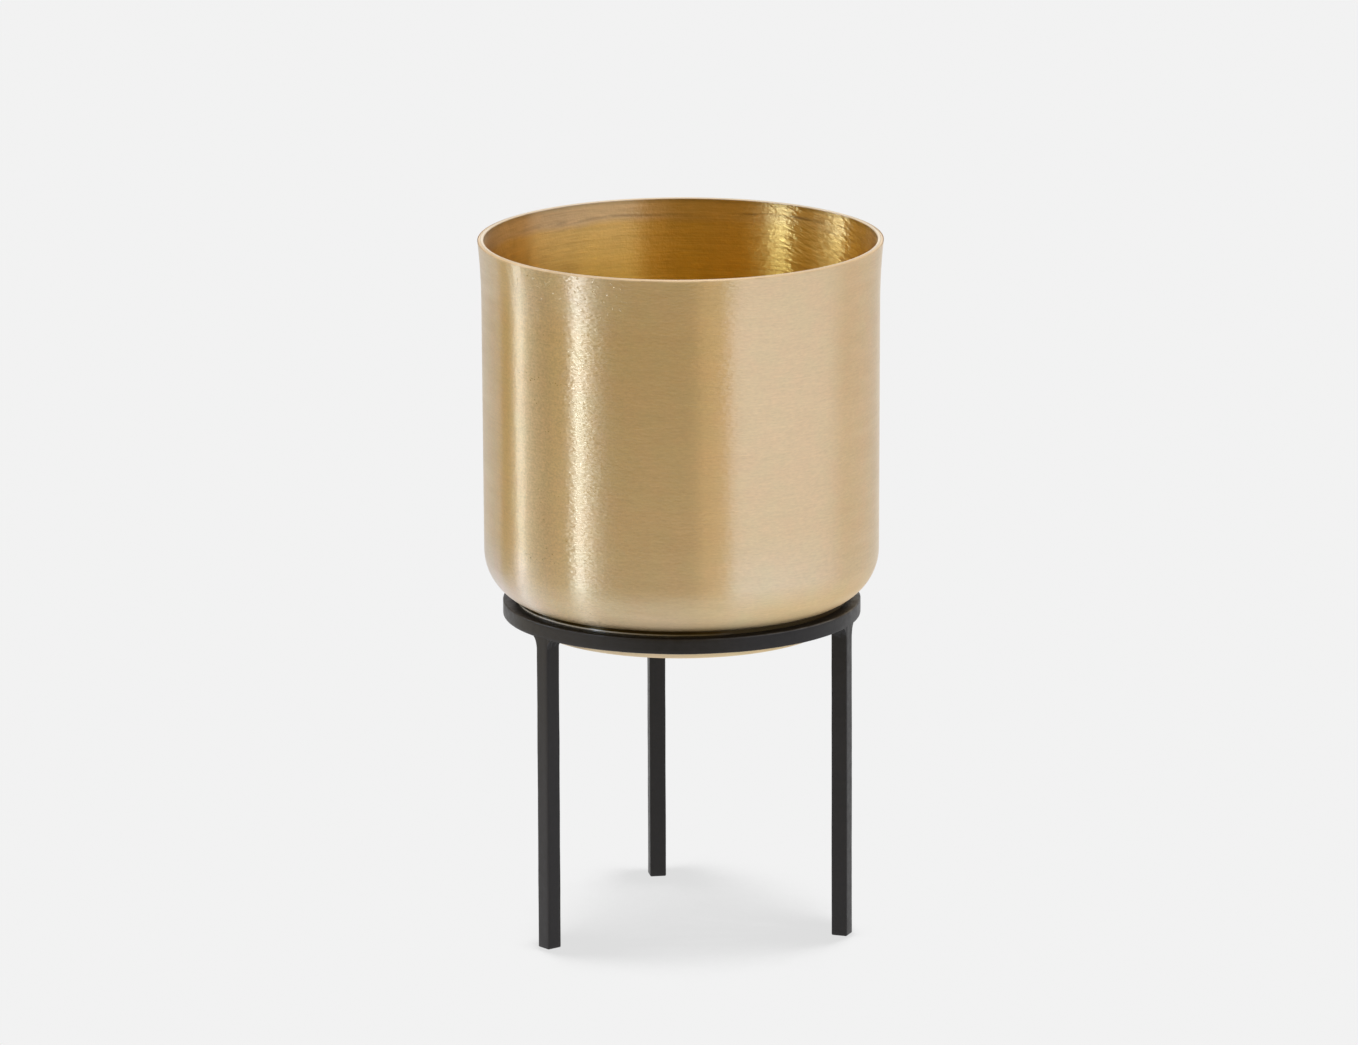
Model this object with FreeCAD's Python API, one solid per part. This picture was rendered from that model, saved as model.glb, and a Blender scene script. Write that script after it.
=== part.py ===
import FreeCAD, Part
import math
import os

# A round metal pot with a narrower foot, standing in the ring of a welded stand on three legs.
# Lengths are millimetres. +Z is up, the floor is Z = 0 and the pot's axis is the Z axis.
# The front is towards -Y: two legs stand at the front and one at the back.

# Pot sizes
wall = 2.3
body_radius = 76.25
wall_lean = 0.5
flare = 1.37
flare_height = 12.7
flare_bend_radius = 240.0
pot_rise = 141.7
shoulder_rise = 5.4
shoulder_arc_share = 0.98
collar_height = 1.55
seat_width = 0.5
foot_drop = 10.8
foot_corner_radius = 8.0
well_edge_radius = 1.5
lip_outer_round_share = 0.48
lip_inner_round_share = 0.22

# Stand sizes
bar = 6.0
bar_edge_radius = 0.5
ring_inset = 7.25
ring_top = 129.0
seam_width = 1.6
weld_width = 2.0
weld_height = 4.5
weld_hollow_share = 0.3
grind_depth = 0.05

# Fit of the pot's foot in the ring
foot_clearance = 0.4

# Places of the legs, in degrees about the axis from +X
leg_count = 3
back_bearing = 90.0
leg_spacing = 360.0 / leg_count
leg_bearings = {
    "back": back_bearing,
    "front_left": back_bearing + leg_spacing,
    "front_right": back_bearing + 2 * leg_spacing,
}

# Sizes that follow from the ones above
ring_outer_radius = body_radius - ring_inset
ring_inner_radius = ring_outer_radius - bar
ring_bottom = ring_top - bar
leg_centre_radius = ring_outer_radius - bar / 2
foot_radius = ring_inner_radius - foot_clearance
collar_radius = ring_inner_radius + bar_edge_radius + seat_width
pot_bottom = ring_top - foot_drop
pot_top = ring_top + pot_rise
collar_top = ring_top + collar_height

origin = FreeCAD.Vector(0, 0, 0)
up = FreeCAD.Vector(0, 0, 1)


def section_point(corner):
    """Point in the plane through the axis: radius along X, height along Z."""
    return FreeCAD.Vector(corner[0], 0, corner[1])


def rounded_outline(corners):
    """Straight runs through (radius, height, rounding) corners, with a tangent arc at each rounded one."""
    edges = []
    pen = section_point(corners[0])
    for before, here, after in zip(corners, corners[1:], corners[2:]):
        corner = section_point(here)
        rounding = here[2]
        back = (section_point(before) - corner).normalize()
        ahead = (section_point(after) - corner).normalize()
        if rounding == 0:
            edges.append(Part.makeLine(pen, corner))
            pen = corner
            continue
        half_angle = back.getAngle(ahead) / 2
        reach = rounding / math.tan(half_angle)
        depth = rounding / math.sin(half_angle) - rounding
        arc_start = corner + back * reach
        arc_middle = corner + (back + ahead).normalize() * depth
        arc_end = corner + ahead * reach
        edges.append(Part.makeLine(pen, arc_start))
        edges.append(Part.Arc(arc_start, arc_middle, arc_end).toShape())
        pen = arc_end
    edges.append(Part.makeLine(pen, section_point(corners[-1])))
    return edges


def shoulder_slope():
    """Angle of the shoulder's underside above level, in radians."""
    return math.atan2(shoulder_rise, body_radius - collar_radius)


def pot_outside():
    """Corners of the pot's outer face, from the middle of its foot up to the rim."""
    shoulder_run = math.hypot(body_radius - collar_radius, shoulder_rise)
    turn = math.pi / 2 - shoulder_slope()
    shoulder_radius = shoulder_arc_share * shoulder_run / math.tan(turn / 2)
    return [
        (0, pot_bottom, 0),
        (foot_radius, pot_bottom, foot_corner_radius),
        (foot_radius, ring_top, 0),
        (collar_radius, ring_top, 0),
        (collar_radius, collar_top, 0),
        (body_radius, collar_top + shoulder_rise, shoulder_radius),
        (body_radius + wall_lean, pot_top - flare_height, flare_bend_radius),
        (body_radius + wall_lean + flare, pot_top, wall * lip_outer_round_share),
    ]


def pot_inside(outside):
    """Corners of the pot's inner face, one wall inside the outer one, from the rim down to the floor."""
    shoulder, bend, rim = outside[-3:]
    slope = shoulder_slope()
    lift = wall / math.cos(slope)
    well_radius = foot_radius - wall
    well_top = collar_top + lift - (collar_radius - well_radius) * math.tan(slope)
    shoulder_height = shoulder[1] + lift - wall * math.tan(slope)
    return [
        (rim[0] - wall, rim[1], wall * lip_inner_round_share),
        (bend[0] - wall, bend[1], bend[2] + wall),
        (shoulder[0] - wall, shoulder_height, shoulder[2] - wall),
        (well_radius, well_top, well_edge_radius),
        (well_radius, pot_bottom + wall, foot_corner_radius - wall),
        (0, pot_bottom + wall, 0),
    ]


def make_pot():
    """Spun shell: its section, turned once about the axis."""
    outside = pot_outside()
    edges = rounded_outline(outside + pot_inside(outside))
    edges.append(Part.makeLine(section_point((0, pot_bottom + wall)), section_point((0, pot_bottom))))
    return Part.Face(Part.Wire(edges)).revolve(origin, up, 360)


def bar_section():
    """Square bar with eased edges, standing where the ring's section cuts the X axis."""
    corners = [
        (leg_centre_radius, ring_bottom, 0),
        (ring_outer_radius, ring_bottom, bar_edge_radius),
        (ring_outer_radius, ring_top, bar_edge_radius),
        (ring_inner_radius, ring_top, bar_edge_radius),
        (ring_inner_radius, ring_bottom, bar_edge_radius),
        (leg_centre_radius, ring_bottom, 0),
    ]
    return Part.Face(Part.Wire(rounded_outline(corners)))


def swept_bar(start_bearing, angle):
    """The bar's section, rolled about the axis through an angle in degrees."""
    section = bar_section()
    section.rotate(origin, up, start_bearing)
    return section.revolve(origin, up, angle)


def seam_angle():
    """Angle, in degrees, that the weld between the ring's two ends takes up."""
    return math.degrees(seam_width / leg_centre_radius)


def make_ring():
    """Hoop of bar, open at the back by the width of its closing weld."""
    return swept_bar(back_bearing + seam_angle() / 2, 360 - seam_angle())


def make_seam_weld():
    """Weld metal between the hoop's ends, ground flush with the bar."""
    return swept_bar(back_bearing - seam_angle() / 2, seam_angle())


def make_leg(bearing):
    """Upright bar from the floor to the ring's underside, flush with the ring's outer face."""
    corner = FreeCAD.Vector(leg_centre_radius - bar / 2, -bar / 2, 0)
    block = Part.makeBox(bar, bar, ring_bottom, corner)
    eased = [edge for edge in block.Edges if edge.BoundBox.ZMin < ring_bottom / 2]
    leg = block.makeFillet(bar_edge_radius, eased)
    leg.rotate(origin, up, bearing)
    return leg


def make_leg_weld(bearing, side, ring, leg):
    """Hollow-faced weld in the corner between a leg's side and the ring, ground flush outside."""
    top = ring_bottom + bar_edge_radius
    inner = FreeCAD.Vector(ring_inner_radius, side * (bar / 2 - bar_edge_radius), top)
    wide = FreeCAD.Vector(ring_inner_radius, side * (bar / 2 + weld_width), top)
    lip = FreeCAD.Vector(ring_inner_radius, side * (bar / 2 + weld_width), ring_bottom)
    low = FreeCAD.Vector(ring_inner_radius, side * bar / 2, ring_bottom - weld_height)
    heel = FreeCAD.Vector(ring_inner_radius, side * (bar / 2 - bar_edge_radius), ring_bottom - weld_height)
    corner = FreeCAD.Vector(ring_inner_radius, side * bar / 2, ring_bottom)
    chord_middle = (lip + low) / 2
    hollow = chord_middle + (corner - chord_middle) * weld_hollow_share
    edges = [
        Part.makeLine(inner, wide),
        Part.makeLine(wide, lip),
        Part.Arc(lip, hollow, low).toShape(),
        Part.makeLine(low, heel),
        Part.makeLine(heel, inner),
    ]
    prism = Part.Face(Part.Wire(edges)).extrude(FreeCAD.Vector(bar, 0, 0))
    prism.rotate(origin, up, bearing)
    ground_off = Part.makeCylinder(ring_outer_radius - grind_depth, ring_top)
    return prism.common(ground_off).cut(ring).cut(leg)


def make_nodes():
    """Every piece of the planter, by name."""
    ring = make_ring()
    seam_weld = make_seam_weld()
    hoop = ring.fuse(seam_weld)
    nodes = {"pot": make_pot(), "stand_ring": ring, "ring_seam_weld": seam_weld}
    for place, bearing in leg_bearings.items():
        leg = make_leg(bearing)
        nodes["leg_" + place] = leg
        nodes["weld_" + place + "_a"] = make_leg_weld(bearing, 1, hoop, leg)
        nodes["weld_" + place + "_b"] = make_leg_weld(bearing, -1, hoop, leg)
    return nodes


os.makedirs("parts", exist_ok=True)
for name, shape in make_nodes().items():
    print(name, shape.isValid(), len(shape.Solids), round(shape.Volume, 1))
    shape.exportStep("parts/" + name + ".step")
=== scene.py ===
import math

import bmesh
import bpy
from mathutils import Matrix, Vector, noise


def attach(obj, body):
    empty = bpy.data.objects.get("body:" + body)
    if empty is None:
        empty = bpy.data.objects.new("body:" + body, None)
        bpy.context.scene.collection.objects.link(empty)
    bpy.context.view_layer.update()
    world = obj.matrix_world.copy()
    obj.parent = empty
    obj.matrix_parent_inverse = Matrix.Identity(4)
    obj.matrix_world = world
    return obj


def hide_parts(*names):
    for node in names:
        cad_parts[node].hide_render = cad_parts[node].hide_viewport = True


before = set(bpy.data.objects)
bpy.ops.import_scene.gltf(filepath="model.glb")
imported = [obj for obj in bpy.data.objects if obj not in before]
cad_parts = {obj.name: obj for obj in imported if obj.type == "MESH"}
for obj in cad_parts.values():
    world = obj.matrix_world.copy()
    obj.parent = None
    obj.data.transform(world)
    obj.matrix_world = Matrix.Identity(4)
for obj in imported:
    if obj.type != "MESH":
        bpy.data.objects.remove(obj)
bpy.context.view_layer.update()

# Lengths below are millimetres unless a name ends in _M, and angles are degrees.
# The row frame: floor at Z = 0, the pot's axis on Z, the front towards -Y.
MM = 0.001

# Pot sizes
WALL = 2.3
BODY_RADIUS = 76.25
WALL_LEAN = 0.5
FLARE = 1.37
FLARE_HEIGHT = 12.7
FLARE_BEND = 240.0
POT_RISE = 141.7
FOOT_DROP = 10.8
FOOT_CORNER = 8.0
COLLAR_HEIGHT = 1.55
SEAT_WIDTH = 0.5
SHOULDER_RISE = 5.4
SHOULDER_BEND = 20.1
WELL_EDGE = 1.5
LIP_OUTER_ROUND = 1.10
LIP_INNER_ROUND = 0.51

# Stand sizes
BAR = 6.0
BAR_EDGE = 0.5
RING_TOP = 129.0
RING_INSET = 7.25
FOOT_CLEARANCE = 0.4
SEAM_WIDTH = 1.6
WELD_WIDTH = 2.0
WELD_HEIGHT = 4.5
WELD_HOLLOW_SHARE = 0.3
LEGS = {"back": 90.0, "front_left": 210.0, "front_right": 330.0}

# Sizes that follow from the ones above
RING_BOTTOM = RING_TOP - BAR
RING_OUTER = BODY_RADIUS - RING_INSET
RING_INNER = RING_OUTER - BAR
LEG_RADIUS = RING_OUTER - BAR / 2
FOOT_RADIUS = RING_INNER - FOOT_CLEARANCE
COLLAR_RADIUS = RING_INNER + BAR_EDGE + SEAT_WIDTH
COLLAR_TOP = RING_TOP + COLLAR_HEIGHT
POT_BOTTOM = RING_TOP - FOOT_DROP
POT_TOP = RING_TOP + POT_RISE

# Fineness of the pot's mesh
POT_STEP = 1.5
POT_ARC_STEP = 7.0
POT_SEGMENTS = 288
POT_CREASE = 30.0

# Ridges that spinning leaves inside the pot: their depth and size, and where they fade out under the rim
RIDGE_DEPTH = 0.035
RIDGE_SIZE = 2.6
RIDGE_SEED = 3.7
RIDGE_END = 1.5
RIDGE_FADE = 2.0

# Uneven bar: thickness of the paint, and the size and depth of its broad and small waves
PAINT = 0.17
RING_WAVES = (14.0, 3.0)
RING_WAVE_DEPTH = 0.05
SEAM_WAVE_DEPTH = 0.16
SMALL_WAVE_SHARE = 0.35
UNDERSIDE_SHARE = 0.6
LEG_WAVES = (18.0, 3.5)
LEG_WAVE_DEPTHS = (0.06, 0.02)
RING_SECTIONS = 300
SEAM_SECTIONS = 8
SEAM_GROUND = 0.06
LEG_SECTIONS = 90
LEG_EASED_SECTIONS = (0.0, 0.05, 0.15, 0.3, 0.5)
LEG_OVERLAP = 0.45
SMALLEST_ROUND = 0.05
BAR_CREASE = 35.0

# Welds: the mesh, how far they reach into the bars, and their ripples and lumps
WELD_ROWS = 9
WELD_COLUMNS = 15
WELD_BURY = 0.45
WELD_INSET = 0.15
WELD_GRIND = 0.05
WELD_CREASE = 50.0
RIPPLE_HEIGHT = 0.26
RIPPLE_DROP = 0.08
RIPPLE_COUNT = 3.5
RIPPLE_LEAN = 0.6
LUMP_SIZE = 1.6
LUMP_HEIGHT = 0.55
GROUND_SHARE = 0.14

# Seeds of the uneven bars, which go up by one from leg to leg, and how far off those of the small waves
# are; and the two welds of each leg as (end of the name, side, seed)
RING_SEED = 1.0
SEAM_SEED = 9.0
LEG_SEED = 11.0
RING_SMALL_SEED_STEP = 5
LEG_SMALL_SEED_STEP = 3
WELD_SIDES = (("_a", 1, 21.0), ("_b", -1, 31.0))

# The camera, fitted to the rim, the ring and the feet
CAMERA_AZIMUTH = -8.8
CAMERA_ELEVATION = 13.37
CAMERA_DISTANCE_M = 4.406
CAMERA_TARGET_M = (-0.00096, 0.00015, 0.1584)
CAMERA_ROLL = -0.20
CAMERA_LENS = 302.3
CAMERA_SENSOR = 36.0
CAMERA_CLIP_M = (0.05, 100.0)

# Colours, as linear shares of white
PALE = 0.887
WORLD_LIGHT = 0.64
BRASS = (0.80, 0.62, 0.39)
BRASS_BAND = (0.74, 0.53, 0.26)
BRASS_INSIDE = (0.785, 0.53, 0.17)
BRASS_DEEP = (0.81, 0.515, 0.08)
CUT_OUTSIDE = (0.86, 0.62, 0.36)
CUT_INSIDE = (0.95, 0.80, 0.60)
# Painted shade: near black for the collar's recess between the ring and the shoulder
PAINTED_COLLAR_SHADE = (0.05, 0.035, 0.012)
# Painted highlight: pale colour for the bright line of reflected light along the foot's edge
PAINTED_FOOT_HIGHLIGHT = (0.95, 0.90, 0.80)
SCUFFED = (0.17, 0.10, 0.06)
BLACK = (0.0092, 0.0079, 0.0086)
# Painted highlight: grey for the ring's outer top edge on the right
PAINTED_EDGE_HIGHLIGHT = (0.11, 0.107, 0.10)
# Painted light: grey for the outer faces on the left, as if lit from that side
PAINTED_LEFT_LIGHT = (0.031, 0.028, 0.0295)

# Parts of a noise's range that an effect is stretched over
WIDE = (0.25, 0.75)
MIDDLE = (0.3, 0.7)
NARROW = (0.35, 0.65)

# In the looks below, a span is the two heights, radii or distances to the right of the axis between which
# something comes in. A noise is its cycles per millimetre and its detail. A run is a noise drawn out round
# the pot: its cycles per millimetre round the pot and along the wall, and its detail.

# Both sides of the pot: the turn of the grain as a share of a full one, and the depth of the bump
GRAIN_TURN = 0.25
BRASS_BUMP_M = 0.0004

# Outside of the pot: noises
GRIT_RUN = (0.55, 1.7, 1.0)
DASH_RUN = (0.12, 1.3, 2.0)
BROAD_RUN = (0.03, 0.3, 2.0)
SPECK_RUN = (0.42, 1.15, 1.0)
GRAIN_RUN = (1.05, 1.3, 1.0)
CLOUD_NOISE = (0.03, 3.0)
HUE_NOISE = (0.11, 2.0)
CHANGE_NOISE = (0.07, 2.0)
NICK_NOISE = (0.75, 0.0)

# Outside of the pot: two hues that alternate, and painted tints that stand in for the colour of reflected
# light at some heights and sides, as (span of heights, spans to the right, factors)
HUES = ((1.012, 0.988, 0.985), (0.988, 1.006, 0.992))
PAINTED_REFLECTION_TINTS = (
    ((168.0, 145.0), (), (1.0, 1.035, 1.10)),
    ((160.0, 138.0), ((-46.0, -70.0),), (1.05, 1.15, 1.6)),
    ((POT_TOP - 26.0, POT_TOP - 10.0), ((-16.0, -34.0),), (1.02, 1.06, 1.17)),
    ((170.0, 154.0), ((4.0, 24.0), (56.0, 36.0)), (1.005, 1.04, 1.07)),
    ((149.0, 139.0), ((-4.0, 36.0),), (1.01, 0.94, 0.77)),
)

# Outside of the pot: shades, among them grain in the colour on the left that stands in for glints in the
# streaks of reflected light, and a duller stripe of painted shade between the two streaks on the left
GRIT_SHADE = (0.955, 1.045)
DASH_SHADE = (-0.035, 0.035)
CLOUD_SHADE = (-0.012, 0.012)
PAINTED_GLINT_SHADE = (-0.085, 0.085)
GRAIN_AND_GLINT_SPANS = ((-8.0, -36.0), (-76.0, -60.0))
PAINTED_SHADE_STRIPE_AT = -54.0
PAINTED_SHADE_STRIPE_WIDTHS = (7.0, 2.5)
PAINTED_SHADE_STRIPE_DEPTH = 0.12
PAINTED_SHADE_STRIPE_HEIGHTS = (144.0, 158.0)

# Outside of the pot: painted shade in the collar's recess, a painted highlight line along the foot edge at
# the front left, and the cut rim
PAINTED_COLLAR_SHADE_HEIGHTS = ((RING_TOP - 0.3, RING_TOP), (COLLAR_TOP + 1.0, COLLAR_TOP))
PAINTED_COLLAR_SHADE_SHARE = 0.97
PAINTED_FOOT_HIGHLIGHT_HEIGHTS = ((RING_TOP + 0.65, RING_TOP + 0.45), (RING_TOP - 0.3, RING_TOP - 0.1))
PAINTED_FOOT_HIGHLIGHT_ACROSS = (20.0, -50.0)
PAINTED_FOOT_HIGHLIGHT_FRONT = (0.0, -10.0)
CUT_SHARE = 0.85
CUT_HEIGHTS_OUTSIDE = (POT_TOP - 0.7, POT_TOP - 0.45)
CUT_HEIGHTS_INSIDE = (POT_TOP - 0.55, POT_TOP - 0.3)

# Outside of the pot: roughness and bump
ROUGH_OUTSIDE = (0.35, 0.39)
GRAIN_ROUGH = (-0.085, 0.085)
NEAR_RIM = (POT_TOP - 26.0, POT_TOP - 6.0)
BUMP_STRENGTHS = (0.36, 0.5)
BUMP_CHANGES = (0.75, 1.25)
NICK_RANGE = (0.70, 0.78)
NICK_HEIGHTS = (POT_TOP - 20.0, POT_TOP - 8.0)
NICK_ACROSS = (-12.0, -30.0)
DASH_HEIGHT = 0.1
SPECK_HEIGHT = 0.55
NICK_HEIGHT = 0.5

# Inside of the pot: noises, waves of its lines, the paler band under the rim, and shades, among them painted
# shade down the middle as the camera sees it and a painted shadow just under the rim
FINE_RUN = (0.16, 1.4, 2.0)
RING_RUN = (0.035, 0.75, 2.0)
BLOT_RUN = (0.1, 0.5, 3.0)
TOOL_RUN = (0.2, 0.65, 1.0)
BLOTCH_NOISE = (0.13, 3.0)
GRIT_NOISE = (0.8, 2.0)
WAVE_NOISE = (0.05, 1.0)
LINE_WAVES = (-0.8, 0.8)
BAND_HEIGHTS = (POT_TOP - 9.5, POT_TOP - 7.0)
BAND_ACROSS = (35.0, -10.0)
BAND_SHARES = (0.3, 1.0)
DEPTH_HEIGHTS = (POT_TOP - 42.0, POT_TOP - 9.0)
FINE_SHADE = (0.95, 1.05)
RING_SHADE = (-0.05, 0.05)
BLOTCH_SHADE = (-0.06, 0.06)
MIDDLE_PAINTED_SHADE = 0.10
MIDDLE_PAINTED_SHADE_WIDTHS = (28.0, 12.0)
RIM_PAINTED_SHADOW = 0.26
RIM_PAINTED_SHADOW_HEIGHTS = (POT_TOP - 2.2, POT_TOP - 0.8)

# Inside of the pot: the scuffed line, which shows on the back wall to the left and to the right
SCUFF_LEFT = ((10.0, -6.0), (-68.0, -50.0))
SCUFF_LEFT_SHARE = 0.6
SCUFF_RIGHT = ((16.0, 28.0), (60.0, 48.0))
SCUFF_BACK = (0.0, 20.0)
SCUFF_WAVE_SHARE = 0.4
SCUFF_ACROSS = (5.0, 35.0)
SCUFF_DROPS = (6.3, 5.1)
SCUFF_WIDTHS = (0.9, 0.15)
SCUFF_RANGE = (0.42, 0.55)
SCUFF_SHARE = 0.55

# Inside of the pot: tool marks, how much it is out of round and towards which angle, roughness and bump
TOOL_SLANT = 0.35
TOOL_ACROSS = (22.0, 50.0)
TOOL_SHARES = (0.12, 1.1)
TOOL_HEIGHTS = (POT_TOP - 85.0, POT_TOP - 55.0)
TOOL_HEIGHT = 1.5
BULGE_ACROSS = (25.0, 60.0)
BULGES = (0.175, 0.7)
OUT_OF_ROUND = 0.15
OUT_OF_ROUND_AT = 230.0
ROUGH_INSIDE = (0.345, 0.42)
BAND_ROUGH = 0.02
RING_HEIGHT = 0.55
FINE_HEIGHT = 0.25
GRIT_HEIGHT = 0.35
INSIDE_STRENGTH = 0.5

# Paint: noises, mottle, a painted highlight along the ring's outer top edge on the right, and painted light
# that greys the outer faces to the left
MOTTLE_NOISE = (0.35, 3.0)
PAINT_GRIT_NOISE = (3.5, 2.0)
PATCH_NOISE = (0.12, 3.0)
MOTTLE_RANGE = (0.35, 0.7)
MOTTLE_FACTOR = 1.5
PAINTED_EDGE_HIGHLIGHT_HEIGHTS = (RING_TOP - 0.55, RING_TOP - 0.25)
PAINTED_EDGE_HIGHLIGHT_RADII = (RING_OUTER - 0.6, RING_OUTER - 0.3)
PAINTED_EDGE_HIGHLIGHT_ACROSS = (8.0, 32.0)
PAINTED_EDGE_HIGHLIGHT_RANGE = (0.4, 0.62)
PAINTED_EDGE_HIGHLIGHT_SHARES = (0.25, 1.0)
PAINTED_LEFT_LIGHT_RADII = (RING_OUTER - 0.2, RING_OUTER)
PAINTED_LEFT_LIGHT_ACROSS = (-8.0, -42.0)
ROUGH_PAINT = (0.36, 0.48)
PAINT_SHINE = 0.38
PAINT_STRENGTH = 0.7
PAINT_BUMP_M = 0.00012
PAINT_MOTTLE_HEIGHT = 0.8
PAINT_GRIT_HEIGHT = 0.25

# The floor, and its shadow: how far its two side weights lean, the reach of what hides the light, where
# the shadow starts and is full, its depth, and the part of the floor that is looked at for it
FLOOR_HALF_M = 15.0
SHADOW_LEAN = 2.14
SHADOW_REACH_M = 0.19
SHADOW_RANGE = (0.0085, 0.0165)
SHADOW_DEPTH = 0.178
SHADOW_RADIUS_M = 0.2
SHADOW_SAMPLES = 96

# The light from above, and the two strip lights on the left as (name, angle to the right of the camera,
# width in metres, power)
TOP_LIGHT_POWER = 1.13
TOP_LIGHT_ANGLE = 50
STRIP_DISTANCE_M = 3.0
STRIP_HEIGHT_M = 2.3
STRIP_LENGTH_M = 3.6
STRIP_COLOUR = (0.77, 1.03, 1.46)
STRIPS = (("strip_front", -61.8, 0.10, 27.5), ("strip_side", -106.8, 0.19, 27.5))

# Cards round the object: name, first and last angle to the right of the camera, where its floor part
# starts (m) if it has one, lowest and highest elevation, distance (m) and colour
CARD_LIFT_M = 0.002
CARD_STEP_UP = 5
CARD_STEP_ROUND = 4
CARDS = (
    ("dark_room", -140.0, 100.0, 0.0, 0.0, 89.0, 4.2, (0.03, 0.03, 0.03)),
    ("card_left_behind", -165.0, -140.0, 0.0, 0.0, 75.0, 4.1, (0.36, 0.34, 0.28)),
    ("card_high_right", 28.0, 100.0, 0.0, 40.0, 72.0, 4.1, (0.75, 0.75, 0.80)),
    ("card_right_side", 100.0, 155.0, 0.0, 0.0, 75.0, 4.2, (0.45, 0.40, 0.32)),
    ("floor_on_the_left", -125.0, -50.0, 0.45, 0.0, 1.0, 4.0, (0.58, 0.47, 0.22)),
    ("floor_in_front", -50.0, 10.0, 0.45, 0.0, 1.0, 4.0, (0.43, 0.38, 0.20)),
    ("floor_front_right", 10.0, 28.0, 0.45, 0.0, 1.0, 4.0, (0.62, 0.52, 0.30)),
    ("softbox_right", 28.0, 104.0, 0.0, 12.0, 40.0, 4.0, (1.82, 1.82, 2.05)),
    ("card_right_behind", 104.0, 145.0, 0.0, 12.0, 40.0, 4.0, (0.90, 0.68, 0.46)),
    ("card_far_left", -140.0, -100.0, 0.0, 12.0, 40.0, 4.0, (0.97, 0.71, 0.22)),
    ("card_left", -100.0, -50.0, 0.0, 12.0, 40.0, 4.0, (0.80, 0.54, 0.04)),
    ("card_front", -50.0, 10.0, 0.0, 12.0, 48.0, 4.0, (0.71, 0.45, 0.06)),
    ("card_front_right", 10.0, 28.0, 0.0, 12.0, 40.0, 4.0, (1.35, 0.95, 0.35)),
)


# Mesh helpers

def rounded_run(corners, step, arc_angle):
    """Points on straight runs through (radius, height, rounding) corners, with an arc at each rounded one."""
    points = [Vector(corners[0][:2])]

    def run_to(target):
        """Adds evenly spaced points up to a target."""
        start = points[-1]
        count = max(1, math.ceil((target - start).length / step))
        for i in range(1, count + 1):
            points.append(start.lerp(target, i / count))

    for before, here, after in zip(corners, corners[1:], corners[2:]):
        corner, rounding = Vector(here[:2]), here[2]
        if rounding == 0:
            run_to(corner)
            continue
        back = (Vector(before[:2]) - corner).normalized()
        ahead = (Vector(after[:2]) - corner).normalized()
        half = back.angle(ahead) / 2
        reach = rounding / math.tan(half)
        centre = corner + (back + ahead).normalized() * (rounding / math.sin(half))
        arc_start, arc_end = corner + back * reach, corner + ahead * reach
        run_to(arc_start)
        turn = math.pi - 2 * half
        count = max(2, math.ceil(math.degrees(turn) / arc_angle), math.ceil(turn * rounding / step))
        first = arc_start - centre
        sign = 1 if first.x * (arc_end - centre).y - first.y * (arc_end - centre).x > 0 else -1
        for i in range(1, count + 1):
            angle = sign * turn * i / count
            c, s = math.cos(angle), math.sin(angle)
            points.append(centre + Vector((first.x * c - first.y * s, first.x * s + first.y * c)))
    run_to(Vector(corners[-1][:2]))
    return points


def new_piece(name, vertices, faces, materials, face_material=None, crease=BAR_CREASE):
    """A smooth-shaded mesh object from millimetre points."""
    mesh = bpy.data.meshes.new(name)
    mesh.from_pydata([tuple(c * MM for c in v) for v in vertices], [], faces)
    for material in materials:
        mesh.materials.append(material)
    if face_material:
        mesh.polygons.foreach_set("material_index", face_material)
    mesh.polygons.foreach_set("use_smooth", [True] * len(mesh.polygons))
    work = bmesh.new()
    work.from_mesh(mesh)
    bmesh.ops.recalc_face_normals(work, faces=work.faces)
    work.to_mesh(mesh)
    work.free()
    mesh.set_sharp_from_angle(angle=math.radians(crease))
    obj = bpy.data.objects.new(name, mesh)
    bpy.context.scene.collection.objects.link(obj)
    return obj


def sweep(loops):
    """Vertices and faces of a skin over equal loops of points, capped at both ends."""
    size = len(loops[0])
    vertices = [p for loop in loops for p in loop]
    faces = []
    for a in range(0, len(vertices) - size, size):
        b = a + size
        for k in range(size):
            n = (k + 1) % size
            faces.append((a + k, a + n, b + n, b + k))
    faces.append(tuple(range(size)))
    faces.append(tuple(range(len(vertices) - size, len(vertices))))
    return vertices, faces


def bar_loop(half, rounding, per_side=4, per_corner=4):
    """A square with rounded corners, as (across, along) points going round once."""
    points = []
    flat = half - rounding
    for quarter in range(4):
        turn = Matrix.Rotation(math.radians(90 * quarter), 2)
        for i in range(per_corner + 1):
            angle = math.radians(90 * i / per_corner)
            corner = Vector((flat + rounding * math.cos(angle), flat + rounding * math.sin(angle)))
            points.append(turn @ corner)
        for i in range(1, per_side):
            points.append(turn @ Vector((flat - 2 * flat * i / per_side, half)))
    return points


def uneven(point, size, depth, seed):
    """A smooth random height at a point, with bumps about size wide."""
    return depth * noise.noise(Vector(point) / size + Vector((seed, 2 * seed, 3 * seed)))


def direction(angle):
    """Level direction from the object at an angle to the right of the camera."""
    a = math.radians(CAMERA_AZIMUTH + angle)
    return Vector((math.sin(a), -math.cos(a), 0.0))


# Shader helpers

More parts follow.
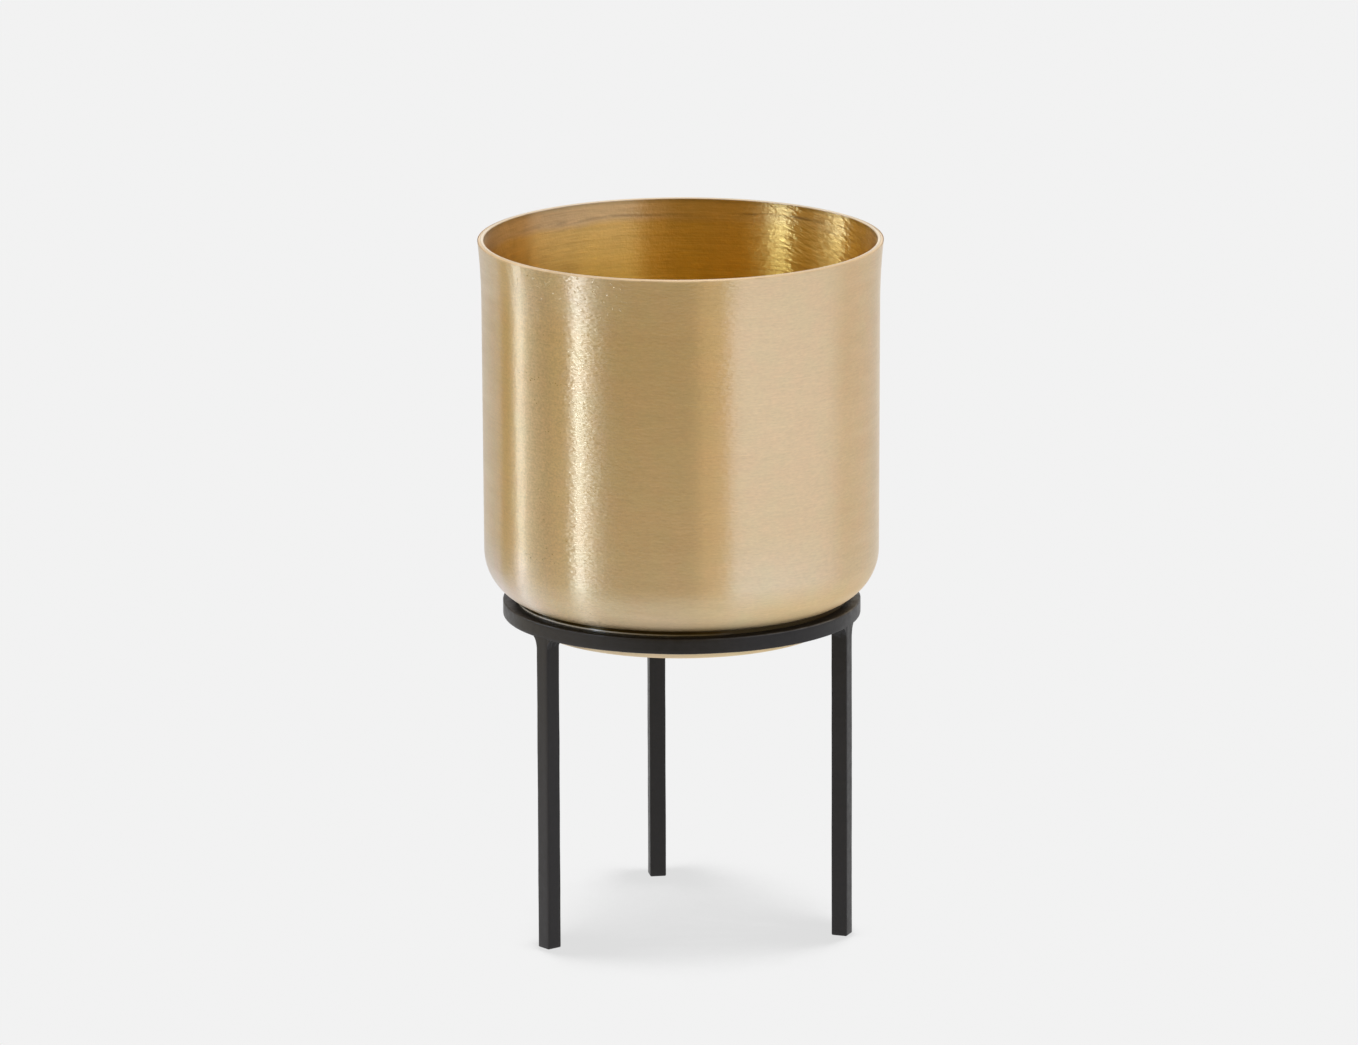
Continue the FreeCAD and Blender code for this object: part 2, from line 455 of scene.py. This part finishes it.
class Graph:
    """The node tree of a new material."""

    def __init__(self, name):
        self.material = bpy.data.materials.new(name)
        self.material.use_nodes = True
        self.tree = self.material.node_tree
        self.shader = self.tree.nodes["Principled BSDF"]

    def add(self, kind, inputs=None, **settings):
        """A new node with its settings, and with a value or a link on each named input."""
        node = self.tree.nodes.new(kind)
        for key, value in settings.items():
            setattr(node, key, value)
        for key, value in (inputs or {}).items():
            self.put(node.inputs[key], value)
        return node

    def put(self, socket, value):
        """Links an output to a socket, or sets the socket to a value."""
        if isinstance(value, bpy.types.NodeSocket):
            self.tree.links.new(value, socket)
        else:
            socket.default_value = value

    def math(self, operation, a, b=0.0):
        """Result of one operation on one or two values."""
        return self.add("ShaderNodeMath", {0: a, 1: b}, operation=operation).outputs[0]

    def plus(self, first, *rest):
        """Sum of the values."""
        for value in rest:
            first = self.math("ADD", first, value)
        return first

    def times(self, first, *rest):
        """Product of the values."""
        for value in rest:
            first = self.math("MULTIPLY", first, value)
        return first

    def minus(self, a, b):
        """The first value less the second."""
        return self.math("SUBTRACT", a, b)

    def remap(self, value, span, to=(0.0, 1.0)):
        """The value, stretched from one span to another and held at its ends."""
        return self.add("ShaderNodeMapRange", {"Value": value, "From Min": span[0], "From Max": span[1],
                                               "To Min": to[0], "To Max": to[1]}).outputs[0]

    def spans(self, value, spans):
        """1 where the value is past every span, and 0 where it is short of any."""
        return self.times(*(self.remap(value, span) for span in spans))

    def noise(self, vector, scale, detail):
        """Noise over a vector."""
        return self.add("ShaderNodeTexNoise", {"Vector": vector, "Scale": scale, "Detail": detail}).outputs[0]

    def mix(self, share, a, b, blend="MIX"):
        """Colour a with a share of colour b mixed in, or blended in another way."""
        node = self.add("ShaderNodeMix", data_type="RGBA", blend_type=blend)
        colours = [s for s in node.inputs if s.type == "RGBA"]
        self.put(node.inputs[0], share)
        for socket, value in zip(colours, (a, b)):
            self.put(socket, (*value, 1.0) if isinstance(value, tuple) else value)
        return next(s for s in node.outputs if s.type == "RGBA")

    def multiply(self, a, b):
        """A colour times another."""
        return self.mix(1.0, a, b, "MULTIPLY")


def millimetres(g):
    """The piece's own coordinates in millimetres, whole and as X, Y, Z, and the distance from the axis."""
    own = g.add("ShaderNodeTexCoord").outputs["Object"]
    scaled = g.add("ShaderNodeVectorMath", {0: own, "Scale": 1 / MM}, operation="SCALE").outputs[0]
    x, y, z = g.add("ShaderNodeSeparateXYZ", {0: scaled}).outputs
    radius = g.math("SQRT", g.plus(g.times(x, x), g.times(y, y)))
    return scaled, x, y, z, radius


def run_round(g, x, y, along, run):
    """Noise that is drawn out round the pot."""
    round_share, thin, detail = run
    vector = g.add("ShaderNodeCombineXYZ", {0: g.times(x, round_share), 1: g.times(y, round_share),
                                            2: g.times(along, thin)}).outputs[0]
    return g.noise(vector, 1.0, detail)


def towards(g, x, y, angle):
    """Distance in millimetres from the axis towards an angle to the right of the camera."""
    return g.plus(g.times(x, direction(angle).x), g.times(y, direction(angle).y))


def to_the_right(g, x, y):
    """Distance in millimetres to the right of the axis, as the camera sees it."""
    return towards(g, x, y, 90)


def grey(g, value):
    """A grey colour of a value."""
    return g.add("ShaderNodeCombineColor", {0: value, 1: value, 2: value}).outputs[0]


def finish_brass(g, colour, rough, height, strength, metal):
    """Metal with its grain round the axis, from a colour, a roughness and a bump."""
    bump = g.add("ShaderNodeBump", {"Height": height, "Distance": BRASS_BUMP_M, "Strength": strength})
    tangent = g.add("ShaderNodeTangent", direction_type="RADIAL", axis="Z")
    g.put(g.shader.inputs["Base Color"], colour)
    g.put(g.shader.inputs["Metallic"], metal)
    g.put(g.shader.inputs["Roughness"], rough)
    g.put(g.shader.inputs["Anisotropic"], 1.0)
    g.put(g.shader.inputs["Anisotropic Rotation"], GRAIN_TURN)
    g.put(g.shader.inputs["Tangent"], tangent.outputs[0])
    g.put(g.shader.inputs["Normal"], bump.outputs[0])
    return g.material


def brass_brushed_outside(name):
    """Brass brushed round the pot: short fine scratches, specks and faint changes of hue."""
    g = Graph(name)
    point, x, y, z, radius = millimetres(g)
    across = to_the_right(g, x, y)
    along = g.plus(z, radius)
    grit = run_round(g, x, y, along, GRIT_RUN)
    dashes = run_round(g, x, y, along, DASH_RUN)
    broad = run_round(g, x, y, along, BROAD_RUN)
    speck = run_round(g, x, y, along, SPECK_RUN)
    grain = run_round(g, x, y, along, GRAIN_RUN)
    grain_and_glint_share = g.spans(across, GRAIN_AND_GLINT_SPANS)
    cloud = g.noise(point, *CLOUD_NOISE)
    hue = g.noise(point, *HUE_NOISE)

    colour = g.multiply(BRASS, g.mix(g.remap(hue, NARROW), *HUES))
    # Painted reflection: tints that colour parts of the wall as the light reflected there looks
    for heights, sides, factors in PAINTED_REFLECTION_TINTS:
        share = g.times(g.remap(z, heights), *(g.remap(across, side) for side in sides))
        colour = g.mix(share, colour, g.multiply(colour, factors))
    # Painted shade: a darker stripe between the two streaks of reflected light on the left
    off_painted_stripe = g.math("ABSOLUTE", g.minus(across, PAINTED_SHADE_STRIPE_AT))
    painted_shade_stripe = g.times(g.remap(off_painted_stripe, PAINTED_SHADE_STRIPE_WIDTHS, (0.0, PAINTED_SHADE_STRIPE_DEPTH)), g.remap(z, PAINTED_SHADE_STRIPE_HEIGHTS))
    # The grain term on the left is a painted glint: speckle in the colour where the streaks of reflected
    # light fall; the same share also varies the roughness there
    shade = g.plus(g.remap(grit, WIDE, GRIT_SHADE), g.remap(dashes, WIDE, DASH_SHADE),
                   g.remap(cloud, MIDDLE, CLOUD_SHADE),
                   g.times(g.remap(grain, MIDDLE, PAINTED_GLINT_SHADE), grain_and_glint_share))
    colour = g.multiply(colour, grey(g, g.minus(shade, painted_shade_stripe)))

    # Painted shade: the collar's recess, from just under the ring's top to just over the collar, is darkened
    # almost to black
    painted_collar_shade = g.times(g.spans(z, PAINTED_COLLAR_SHADE_HEIGHTS), PAINTED_COLLAR_SHADE_SHARE)
    # Painted highlight: a pale, non-metal line at the foot's edge, on the front left only, where reflected
    # light shows there
    painted_foot_highlight = g.times(g.spans(z, PAINTED_FOOT_HIGHLIGHT_HEIGHTS), g.remap(across, PAINTED_FOOT_HIGHLIGHT_ACROSS), g.remap(y, PAINTED_FOOT_HIGHLIGHT_FRONT))
    cut = g.remap(z, CUT_HEIGHTS_OUTSIDE, (0.0, CUT_SHARE))
    colour = g.mix(painted_collar_shade, colour, PAINTED_COLLAR_SHADE)
    colour = g.mix(painted_foot_highlight, colour, PAINTED_FOOT_HIGHLIGHT)
    colour = g.mix(cut, colour, CUT_OUTSIDE)
    metal = g.minus(1.0, g.math("MAXIMUM", painted_foot_highlight, cut))

    changes = g.remap(g.noise(point, *CHANGE_NOISE), NARROW, BUMP_CHANGES)
    strength = g.times(g.remap(z, NEAR_RIM, BUMP_STRENGTHS), changes)
    nicks = g.times(g.remap(g.noise(point, *NICK_NOISE), NICK_RANGE),
                    g.remap(z, NICK_HEIGHTS), g.remap(across, NICK_ACROSS))
    height = g.plus(g.times(dashes, DASH_HEIGHT), g.times(speck, SPECK_HEIGHT), g.times(nicks, NICK_HEIGHT))
    rough = g.plus(g.remap(broad, MIDDLE, ROUGH_OUTSIDE),
                   g.times(g.remap(grain, MIDDLE, GRAIN_ROUGH), grain_and_glint_share))
    return finish_brass(g, colour, rough, height, strength, metal)


def scuffed_line(g, x, y, z, along, across, waves):
    """Share of the dark broken line that runs round the inside, a little under the rim."""
    left = g.times(g.spans(across, SCUFF_LEFT), SCUFF_LEFT_SHARE)
    right = g.spans(across, SCUFF_RIGHT)
    back_wall = g.times(g.plus(left, right), g.remap(y, SCUFF_BACK))
    height = g.plus(z, g.times(waves, SCUFF_WAVE_SHARE), g.remap(across, SCUFF_ACROSS, SCUFF_DROPS))
    line = g.remap(g.math("ABSOLUTE", g.minus(height, POT_TOP)), SCUFF_WIDTHS)
    blots = g.remap(run_round(g, x, y, along, BLOT_RUN), SCUFF_RANGE)
    return g.times(line, blots, back_wall, SCUFF_SHARE)


def tool_marks(g, x, y, z, across):
    """Height of the slanting rows of tool marks on the right, on a wall that bulges a little there."""
    slanting = g.plus(z, g.times(across, TOOL_SLANT))
    marks = g.minus(run_round(g, x, y, slanting, TOOL_RUN), 0.5)
    marks = g.times(marks, g.remap(across, TOOL_ACROSS, TOOL_SHARES), g.remap(z, TOOL_HEIGHTS))
    return g.times(g.plus(marks, g.remap(across, BULGE_ACROSS, BULGES)), TOOL_HEIGHT)


def brass_spun_inside(name):
    """Duller, deeper brass inside: rings left by spinning, blotches, and a paler band under the rim."""
    g = Graph(name)
    point, x, y, z, radius = millimetres(g)
    across = to_the_right(g, x, y)
    along = g.minus(z, radius)
    fine = run_round(g, x, y, along, FINE_RUN)
    rings = run_round(g, x, y, along, RING_RUN)
    blotch = g.noise(point, *BLOTCH_NOISE)
    grit = g.noise(point, *GRIT_NOISE)
    waves = g.remap(g.noise(point, *WAVE_NOISE), MIDDLE, LINE_WAVES)

    band = g.times(g.remap(g.plus(z, waves), BAND_HEIGHTS), g.remap(across, BAND_ACROSS, BAND_SHARES))
    colour = g.mix(g.remap(z, DEPTH_HEIGHTS), BRASS_DEEP, BRASS_INSIDE)
    colour = g.mix(band, colour, BRASS_BAND)
    shade = g.plus(g.remap(fine, WIDE, FINE_SHADE), g.remap(rings, WIDE, RING_SHADE),
                   g.remap(blotch, MIDDLE, BLOTCH_SHADE))
    # Painted shade: the inside is darker down the middle, as the camera sees it
    shade = g.minus(shade, g.remap(g.math("ABSOLUTE", across), MIDDLE_PAINTED_SHADE_WIDTHS, (0.0, MIDDLE_PAINTED_SHADE)))
    # Painted shadow: a dark line just under the rim on the inside
    shade = g.minus(shade, g.remap(z, RIM_PAINTED_SHADOW_HEIGHTS, (0.0, RIM_PAINTED_SHADOW)))
    colour = g.multiply(colour, grey(g, shade))
    colour = g.mix(scuffed_line(g, x, y, z, along, across, waves), colour, SCUFFED)
    cut = g.remap(z, CUT_HEIGHTS_INSIDE, (0.0, CUT_SHARE))
    colour = g.mix(cut, colour, CUT_INSIDE)

    rough = g.plus(g.remap(blotch, MIDDLE, ROUGH_INSIDE), g.times(band, BAND_ROUGH))
    out_of_round = g.times(towards(g, x, y, OUT_OF_ROUND_AT), OUT_OF_ROUND)
    height = g.plus(g.times(rings, RING_HEIGHT), g.times(fine, FINE_HEIGHT), g.times(grit, GRIT_HEIGHT),
                    tool_marks(g, x, y, z, across), out_of_round)
    return finish_brass(g, colour, rough, height, INSIDE_STRENGTH, g.minus(1.0, cut))


def satin_black(name):
    """Thin black paint over bar, a little uneven, with a painted highlight on the ring's outer top edge to
    the right and painted light greying the outer faces to the left.
    """
    g = Graph(name)
    point, x, y, z, radius = millimetres(g)
    across = to_the_right(g, x, y)
    mottle = g.noise(point, *MOTTLE_NOISE)
    grit = g.noise(point, *PAINT_GRIT_NOISE)
    patches = g.noise(point, *PATCH_NOISE)
    colour = g.mix(g.remap(mottle, MOTTLE_RANGE), BLACK, tuple(c * MOTTLE_FACTOR for c in BLACK))
    # Painted highlight: patches of grey along the ring's outer top edge, on the right side only
    painted_edge_highlight = g.times(g.remap(z, PAINTED_EDGE_HIGHLIGHT_HEIGHTS), g.remap(radius, PAINTED_EDGE_HIGHLIGHT_RADII),
                     g.remap(across, PAINTED_EDGE_HIGHLIGHT_ACROSS), g.remap(patches, PAINTED_EDGE_HIGHLIGHT_RANGE, PAINTED_EDGE_HIGHLIGHT_SHARES))
    colour = g.mix(painted_edge_highlight, colour, PAINTED_EDGE_HIGHLIGHT)
    # Painted light: the outer faces of the ring and legs are greyer towards the left, as if lit from that
    # side
    painted_left_light = g.times(g.remap(radius, PAINTED_LEFT_LIGHT_RADII), g.remap(across, PAINTED_LEFT_LIGHT_ACROSS))
    colour = g.mix(painted_left_light, colour, PAINTED_LEFT_LIGHT)
    height = g.plus(g.times(mottle, PAINT_MOTTLE_HEIGHT), g.times(grit, PAINT_GRIT_HEIGHT))
    bump = g.add("ShaderNodeBump", {"Height": height, "Distance": PAINT_BUMP_M, "Strength": PAINT_STRENGTH})
    g.put(g.shader.inputs["Base Color"], colour)
    g.put(g.shader.inputs["Roughness"], g.remap(mottle, MIDDLE, ROUGH_PAINT))
    g.put(g.shader.inputs["Specular IOR Level"], PAINT_SHINE)
    g.put(g.shader.inputs["Normal"], bump.outputs[0])
    return g.material


brass_outside = brass_brushed_outside("brass_outside")
brass_inside = brass_spun_inside("brass_inside")
paint = satin_black("satin_black_paint")


# Pot

def pot_profile():
    """The pot's outline up the outside to the middle of the rim, and from there down to its floor."""
    slope = math.atan2(SHOULDER_RISE, BODY_RADIUS - COLLAR_RADIUS)
    lift = WALL / math.cos(slope)
    well = FOOT_RADIUS - WALL
    wall_top = BODY_RADIUS + WALL_LEAN
    rim = wall_top + FLARE
    bend_height = POT_TOP - FLARE_HEIGHT
    shoulder_height = COLLAR_TOP + SHOULDER_RISE
    outside = [
        (0, POT_BOTTOM, 0),
        (FOOT_RADIUS, POT_BOTTOM, FOOT_CORNER),
        (FOOT_RADIUS, RING_TOP, 0),
        (COLLAR_RADIUS, RING_TOP, 0),
        (COLLAR_RADIUS, COLLAR_TOP, 0),
        (BODY_RADIUS, shoulder_height, SHOULDER_BEND),
        (wall_top, bend_height, FLARE_BEND),
        (rim, POT_TOP, LIP_OUTER_ROUND),
        (rim - WALL / 2, POT_TOP, 0),
    ]
    inside = [
        (rim - WALL / 2, POT_TOP, 0),
        (rim - WALL, POT_TOP, LIP_INNER_ROUND),
        (wall_top - WALL, bend_height, FLARE_BEND + WALL),
        (BODY_RADIUS - WALL, shoulder_height + lift - WALL * math.tan(slope), SHOULDER_BEND - WALL),
        (well, COLLAR_TOP + lift - (COLLAR_RADIUS - well) * math.tan(slope), WELL_EDGE),
        (well, POT_BOTTOM + WALL, FOOT_CORNER - WALL),
        (0, POT_BOTTOM + WALL, 0),
    ]
    return tuple(rounded_run(corners, POT_STEP, POT_ARC_STEP) for corners in (outside, inside))


def ridged(point):
    """A point of the inside, moved by the faint ridges that spinning leaves."""
    ridge = RIDGE_DEPTH * noise.noise(Vector((0.0, RIDGE_SEED, point.y / RIDGE_SIZE)))
    fade = min(1.0, max(0.0, (POT_TOP - RIDGE_END - point.y) / RIDGE_FADE))
    return Vector((point.x + ridge * fade, point.y)) if point.x > WELL_EDGE else point


def make_pot():
    """The pot's outline turned about its axis, brushed outside and spun inside."""
    outside, inside = pot_profile()
    profile = outside[1:-1] + [ridged(p) for p in inside[:-1]]
    vertices, faces, zone = [], [], []
    for i in range(POT_SEGMENTS):
        angle = 2 * math.pi * i / POT_SEGMENTS
        c, s = math.cos(angle), math.sin(angle)
        vertices.extend((p.x * c, p.x * s, p.y) for p in profile)
    size = len(profile)
    split = len(outside) - 2
    starts = [(size * i, size * ((i + 1) % POT_SEGMENTS)) for i in range(POT_SEGMENTS)]
    for a, b in starts:
        for k in range(size - 1):
            faces.append((a + k, b + k, b + k + 1, a + k + 1))
            zone.append(0 if k < split else 1)
    foot_middle = len(vertices)
    floor_middle = foot_middle + 1
    vertices += [(0, 0, POT_BOTTOM), (0, 0, POT_BOTTOM + WALL)]
    for a, b in starts:
        faces += [(foot_middle, b, a), (floor_middle, a + size - 1, b + size - 1)]
        zone += [0, 1]
    pot = new_piece("pot_spun_shell", vertices, faces, [brass_outside, brass_inside], zone, POT_CREASE)
    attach(pot, "pot")
    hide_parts("pot")


# Stand

def bar_at(angle, loop, seed, depth):
    """One section of the ring's painted bar at an angle about the axis."""
    c, s = math.cos(math.radians(angle)), math.sin(math.radians(angle))
    middle = (RING_TOP + RING_BOTTOM) / 2
    points = []
    for p in loop:
        base = ((LEG_RADIUS + p.x) * c, (LEG_RADIUS + p.x) * s, middle + p.y)
        broad = uneven(base, RING_WAVES[0], depth, seed)
        push = broad + uneven(base, RING_WAVES[1], depth * SMALL_WAVE_SHARE, seed + RING_SMALL_SEED_STEP)
        radius = LEG_RADIUS + p.x * (1 + (push + PAINT) / (BAR / 2))
        upright = 1 + min(0.0, push - depth * UNDERSIDE_SHARE) / (BAR / 2)
        points.append((radius * c, radius * s, middle + p.y * upright))
    return points


def bar_round(first, last, count, half, seed, depth):
    """Sections of the ring's bar from one angle to another."""
    loop = bar_loop(half, BAR_EDGE)
    return [bar_at(first + (last - first) * i / count, loop, seed, depth) for i in range(count + 1)]


def make_ring():
    """The ring's bar, and the ground weld that closes it at the back."""
    gap = math.degrees(SEAM_WIDTH / LEG_RADIUS) / 2
    back = LEGS["back"]
    bar = bar_round(back + gap, back + 360 - gap, RING_SECTIONS, BAR / 2, RING_SEED, RING_WAVE_DEPTH)
    half = BAR / 2 - SEAM_GROUND
    bead = bar_round(back - gap, back + gap, SEAM_SECTIONS, half, SEAM_SEED, SEAM_WAVE_DEPTH)
    ring = new_piece("ring_bar", *sweep(bar), [paint])
    weld = new_piece("ring_seam_bead", *sweep(bead), [paint])
    for piece, node in ((ring, "stand_ring"), (weld, "ring_seam_weld")):
        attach(piece, "stand")
        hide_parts(node)


def place(bearing, radial, across, height):
    """A point at a leg's bearing: out from the axis, across to the left of that, and up."""
    c, s = math.cos(math.radians(bearing)), math.sin(math.radians(bearing))
    return (radial * c - across * s, radial * s + across * c, height)


def make_leg(name, bearing, seed):
    """Upright painted bar with eased edges, cut square at the floor and run into the ring's underside."""
    levels = [(h, BAR_EDGE - math.sqrt(BAR_EDGE ** 2 - (BAR_EDGE - h) ** 2)) for h in LEG_EASED_SECTIONS]
    top = RING_BOTTOM + LEG_OVERLAP
    rise = (top - BAR_EDGE) / LEG_SECTIONS
    levels += [(BAR_EDGE + rise * i, 0.0) for i in range(1, LEG_SECTIONS + 1)]
    loops = []
    for height, inset in levels:
        points = []
        for p in bar_loop(BAR / 2 - inset, max(SMALLEST_ROUND, BAR_EDGE - inset)):
            base = (p.x, p.y, height)
            broad = uneven(base, LEG_WAVES[0], LEG_WAVE_DEPTHS[0], seed)
            push = broad + uneven(base, LEG_WAVES[1], LEG_WAVE_DEPTHS[1], seed + LEG_SMALL_SEED_STEP)
            scale = 1 + (push + PAINT) / (BAR / 2)
            points.append(place(bearing, LEG_RADIUS + p.x * scale, p.y * scale, height))
        loops.append(points)
    leg = new_piece("leg_bar_" + name, *sweep(loops), [paint])
    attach(leg, "stand")
    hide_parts("leg_" + name)


def weld_section(depth_share, seed):
    """The weld's outline in the corner between a leg's side and the ring, as (across, height) points."""
    corner, wide, low = Vector((0, 0)), Vector((WELD_WIDTH, 0)), Vector((0, -WELD_HEIGHT))
    middle = (wide + low) / 2
    control = 2 * (middle + (corner - middle) * WELD_HOLLOW_SHARE) - middle
    out = Vector((WELD_HEIGHT, -WELD_WIDTH)).normalized()
    ground = min(1.0, (1 - depth_share) / GROUND_SHARE)
    points = [(-WELD_BURY, WELD_BURY), (WELD_WIDTH, WELD_BURY)]
    for i in range(WELD_ROWS + 1):
        t = i / WELD_ROWS
        p = wide * (1 - t) ** 2 + control * (2 * t * (1 - t)) + low * t ** 2
        wave = math.sin(math.pi * RIPPLE_COUNT * depth_share + RIPPLE_LEAN * t + seed)
        ripple = RIPPLE_HEIGHT * abs(wave) - RIPPLE_DROP
        lump = uneven((p.x, p.y, BAR * depth_share), LUMP_SIZE, LUMP_HEIGHT, seed)
        p = p + out * math.sin(math.pi * t) * (ripple + lump) * ground
        points.append((p.x, p.y))
    return points + [(-WELD_BURY, -WELD_HEIGHT)]


def make_weld(name, bearing, side, seed):
    """Hollow weld between a leg's side and the ring: rippled inside, ground flush outside."""
    inner = RING_INNER + WELD_INSET
    loops = []
    for j in range(WELD_COLUMNS + 1):
        depth_share = j / WELD_COLUMNS
        loop = []
        for across, height in weld_section(depth_share, seed):
            offset = BAR / 2 + across
            outer = math.sqrt((RING_OUTER + PAINT - WELD_GRIND) ** 2 - offset ** 2)
            radial = inner + (outer - inner) * depth_share
            loop.append(place(bearing, radial, side * offset, RING_BOTTOM + height))
        loops.append(loop)
    weld = new_piece("weld_bead_" + name, *sweep(loops), [paint], crease=WELD_CREASE)
    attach(weld, "stand")
    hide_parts("weld_" + name)


make_pot()
make_ring()
for number, (leg_name, leg_bearing) in enumerate(LEGS.items()):
    make_leg(leg_name, leg_bearing, LEG_SEED + number)
    for ending, weld_side, weld_seed in WELD_SIDES:
        make_weld(leg_name + ending, leg_bearing, weld_side, weld_seed + number)


# Stage

def seen_directly(tree):
    """1 for the rays of the camera, of reflections and of transmission, and 0 for the others."""
    path = tree.nodes.new("ShaderNodeLightPath")
    total = path.outputs["Is Camera Ray"]
    for name in ("Is Glossy Ray", "Is Transmission Ray"):
        add = tree.nodes.new("ShaderNodeMath")
        add.operation, add.use_clamp = "ADD", True
        tree.links.new(total, add.inputs[0])
        tree.links.new(path.outputs[name], add.inputs[1])
        total = add.outputs[0]
    return total


def side_cover(g, lean):
    """Share of the sky above a floor point that the object hides, weighted towards one side."""
    side = direction(90) * lean * SHADOW_LEAN
    aim = g.add("ShaderNodeCombineXYZ", {0: side.x, 1: side.y, 2: 1.0}).outputs[0]
    aim = g.add("ShaderNodeVectorMath", {0: aim}, operation="NORMALIZE").outputs[0]
    open_sky = g.add("ShaderNodeAmbientOcclusion", {"Distance": SHADOW_REACH_M, "Normal": aim},
                     samples=SHADOW_SAMPLES)
    return g.minus(1.0, open_sky.outputs["AO"])


def staged(name, vertices, faces, material):
    """A mesh object in metres that is part of the stage."""
    mesh = bpy.data.meshes.new(name)
    mesh.from_pydata(vertices, [], faces)
    mesh.materials.append(material)
    obj = bpy.data.objects.new(name, mesh)
    bpy.context.scene.collection.objects.link(obj)
    return obj


def emission(g, colour):
    """Output of a surface that glows evenly."""
    return g.add("ShaderNodeEmission", {"Color": colour, "Strength": 1.0}).outputs[0]


def set_surface(g, output):
    """Makes an output the material's surface, in place of its first shader."""
    g.tree.nodes.remove(g.shader)
    g.tree.links.new(output, g.tree.nodes["Material Output"].inputs["Surface"])
    return g.material


def make_floor():
    """Plain pale floor, darker close under the object, where the light from both sides is hidden."""
    g = Graph("pale_floor")
    pale = (PALE, PALE, PALE)
    cover = g.times(side_cover(g, 1), side_cover(g, -1))
    depth = g.remap(cover, SHADOW_RANGE, (1.0, 1.0 - SHADOW_DEPTH))
    own = g.add("ShaderNodeTexCoord").outputs["Object"]
    out = g.add("ShaderNodeVectorMath", {0: own}, operation="LENGTH").outputs["Value"]
    camera_ray = g.add("ShaderNodeLightPath").outputs["Is Camera Ray"]
    near = g.times(g.math("LESS_THAN", out, SHADOW_RADIUS_M), camera_ray)
    seen = g.add("ShaderNodeMixShader", {0: near, 1: emission(g, (*pale, 1.0)),
                                         2: emission(g, g.multiply(pale, grey(g, depth)))})
    lit = g.add("ShaderNodeBsdfDiffuse", {"Color": (*pale, 1.0)})
    mixed = g.add("ShaderNodeMixShader", {0: seen_directly(g.tree), 1: lit.outputs[0], 2: seen.outputs[0]})
    half = FLOOR_HALF_M
    corners = [(-half, -half, 0), (half, -half, 0), (half, half, 0), (-half, half, 0)]
    staged("floor", corners, [(0, 1, 2, 3)], set_surface(g, mixed.outputs[0]))


def make_card(name, first, last, near, low, high, distance, colour):
    """Plain card over part of the dome round the object, and of its floor, which only reflections see."""
    g = Graph(name)
    material = set_surface(g, emission(g, (*colour, 1.0)))
    rows = max(2, math.ceil((high - low) / CARD_STEP_UP)) + 1
    columns = max(2, math.ceil((last - first) / CARD_STEP_ROUND)) + 1
    elevations = [math.radians(low + (high - low) * j / (rows - 1)) for j in range(rows)]
    run = [(distance * math.cos(e), distance * math.sin(e) + CARD_LIFT_M) for e in elevations]
    if near:
        run.insert(0, (near, CARD_LIFT_M))
    vertices = []
    for i in range(columns):
        d = direction(first + (last - first) * i / (columns - 1))
        vertices.extend(d * radius + Vector((0, 0, height)) for radius, height in run)
    size = len(run)
    faces = [(size * i + j, size * (i + 1) + j, size * (i + 1) + j + 1, size * i + j + 1)
             for i in range(columns - 1) for j in range(size - 1)]
    card = staged(name, vertices, faces, material)
    card.visible_camera = card.visible_diffuse = card.visible_shadow = False
    card.visible_transmission = card.visible_volume_scatter = False


def make_top_light():
    """A wide soft light from above."""
    data = bpy.data.lights.new("top_light", "SUN")
    data.energy, data.angle = TOP_LIGHT_POWER, math.radians(TOP_LIGHT_ANGLE)
    top = bpy.data.objects.new("top_light", data)
    bpy.context.scene.collection.objects.link(top)


def make_strip(name, angle, width, power):
    """Tall narrow light that faces the axis, and that only reflections see."""
    data = bpy.data.lights.new(name, "AREA")
    data.shape = "RECTANGLE"
    data.size, data.size_y, data.energy, data.color = width, STRIP_LENGTH_M, power, STRIP_COLOUR
    lamp = bpy.data.objects.new(name, data)
    bpy.context.scene.collection.objects.link(lamp)
    aim = Vector((0, 0, STRIP_HEIGHT_M))
    lamp.location = direction(angle) * STRIP_DISTANCE_M + aim
    lamp.rotation_euler = (aim - lamp.location).to_track_quat("-Z", "Y").to_euler()
    lamp.visible_camera = lamp.visible_diffuse = False


def make_world():
    """Even light all round: pale where it is seen, and dimmer where it lights."""
    world = bpy.data.worlds.new("even_studio")
    bpy.context.scene.world = world
    world.use_nodes = True
    tree = world.node_tree
    tree.nodes.clear()
    mixed = tree.nodes.new("ShaderNodeMixShader")
    tree.links.new(seen_directly(tree), mixed.inputs[0])
    for socket, level in ((mixed.inputs[1], WORLD_LIGHT), (mixed.inputs[2], PALE)):
        sky = tree.nodes.new("ShaderNodeBackground")
        sky.inputs["Color"].default_value = (level, level, level, 1.0)
        tree.links.new(sky.outputs[0], socket)
    out = tree.nodes.new("ShaderNodeOutputWorld")
    tree.links.new(mixed.outputs[0], out.inputs["Surface"])


def make_camera():
    """Camera at the photograph's place."""
    data = bpy.data.cameras.new("camera")
    data.lens, data.sensor_width, data.sensor_fit = CAMERA_LENS, CAMERA_SENSOR, "HORIZONTAL"
    data.clip_start, data.clip_end = CAMERA_CLIP_M
    camera = bpy.data.objects.new("camera", data)
    bpy.context.scene.collection.objects.link(camera)
    a, e = math.radians(CAMERA_AZIMUTH), math.radians(CAMERA_ELEVATION)
    back = Vector((math.sin(a) * math.cos(e), -math.cos(a) * math.cos(e), math.sin(e)))
    right = Vector((0, 0, 1)).cross(back).normalized()
    roll = Matrix.Rotation(math.radians(CAMERA_ROLL), 3, "Z")
    turn = Matrix((right, back.cross(right), back)).transposed() @ roll
    spot = Vector(CAMERA_TARGET_M) + back * CAMERA_DISTANCE_M
    camera.matrix_world = Matrix.Translation(spot) @ turn.to_4x4()
    bpy.context.scene.camera = camera


make_floor()
for card_values in CARDS:
    make_card(*card_values)
make_top_light()
for strip_values in STRIPS:
    make_strip(*strip_values)
make_world()
make_camera()
bpy.context.scene.view_settings.view_transform = "Standard"
